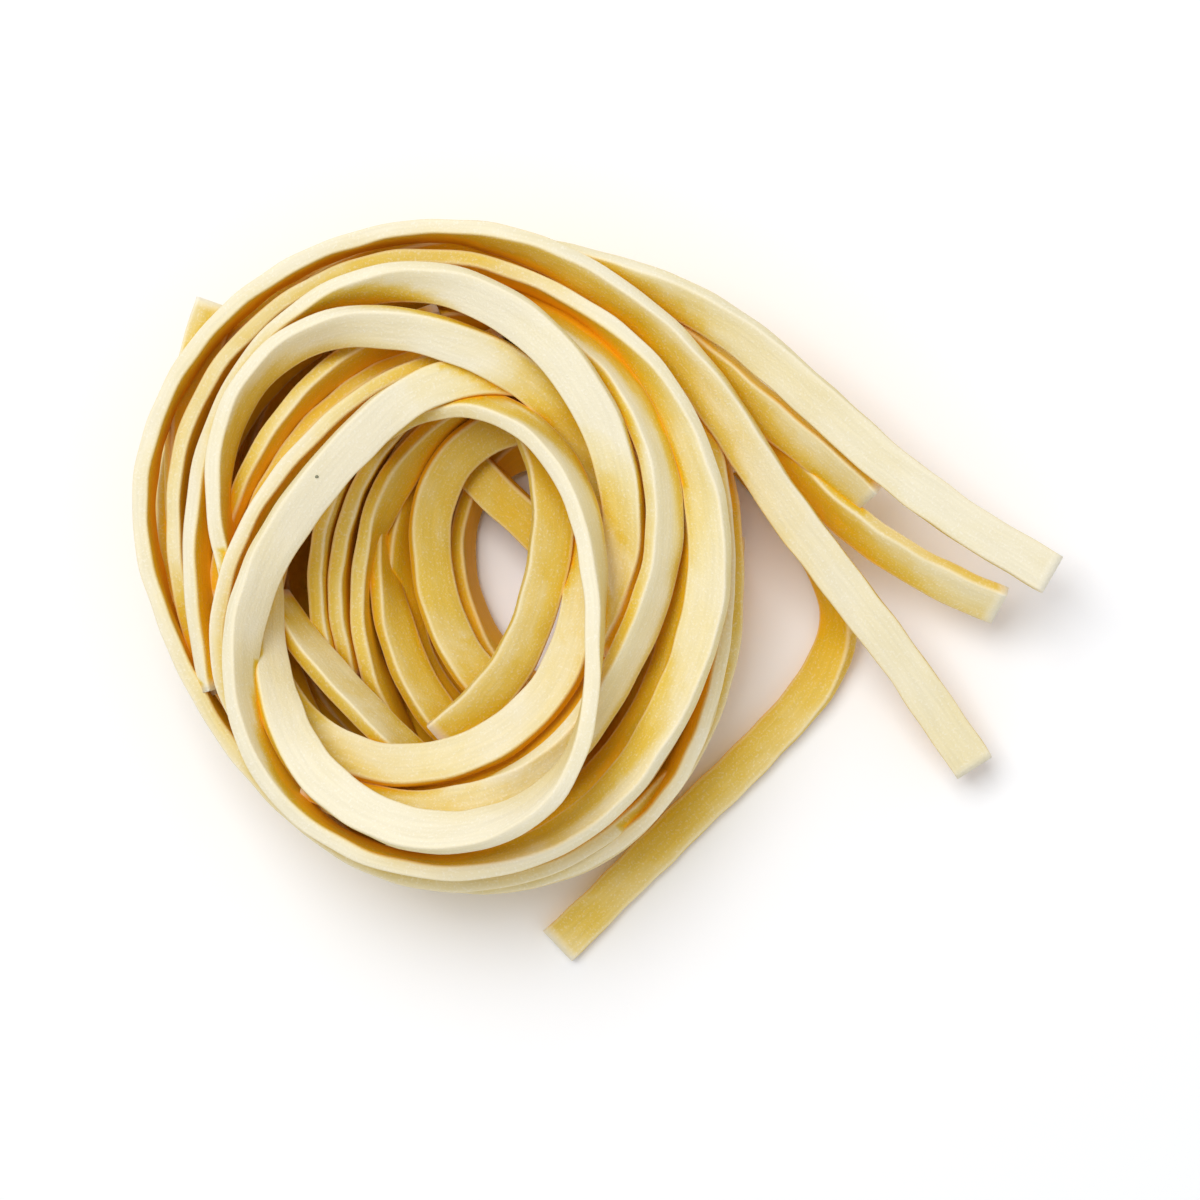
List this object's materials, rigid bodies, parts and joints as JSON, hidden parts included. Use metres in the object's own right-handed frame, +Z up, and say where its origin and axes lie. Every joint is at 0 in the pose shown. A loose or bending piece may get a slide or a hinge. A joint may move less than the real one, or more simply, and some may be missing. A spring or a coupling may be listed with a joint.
{
  "type": "dry fettuccine nest",
  "caption": "Dry egg pasta ribbons wound into a round nest with an open middle, flat underneath, with loose ends at one side.",
  "frame": {"origin": "bottom centre of the nest's bounding box, on the surface that the nest rests on", "axes": "+Z up, +X towards the loose ends, which are at the right of the picture, +Y towards the top of the picture"},
  "size_m": [0.1118, 0.0891, 0.0307],
  "materials": {
    "dry_pasta": "matt, dry, pale golden yellow with a light dusting of flour"
  },
  "bodies": {
    "root": {"fettuccine_nest": "dry_pasta"}
  },
  "joints": []
}
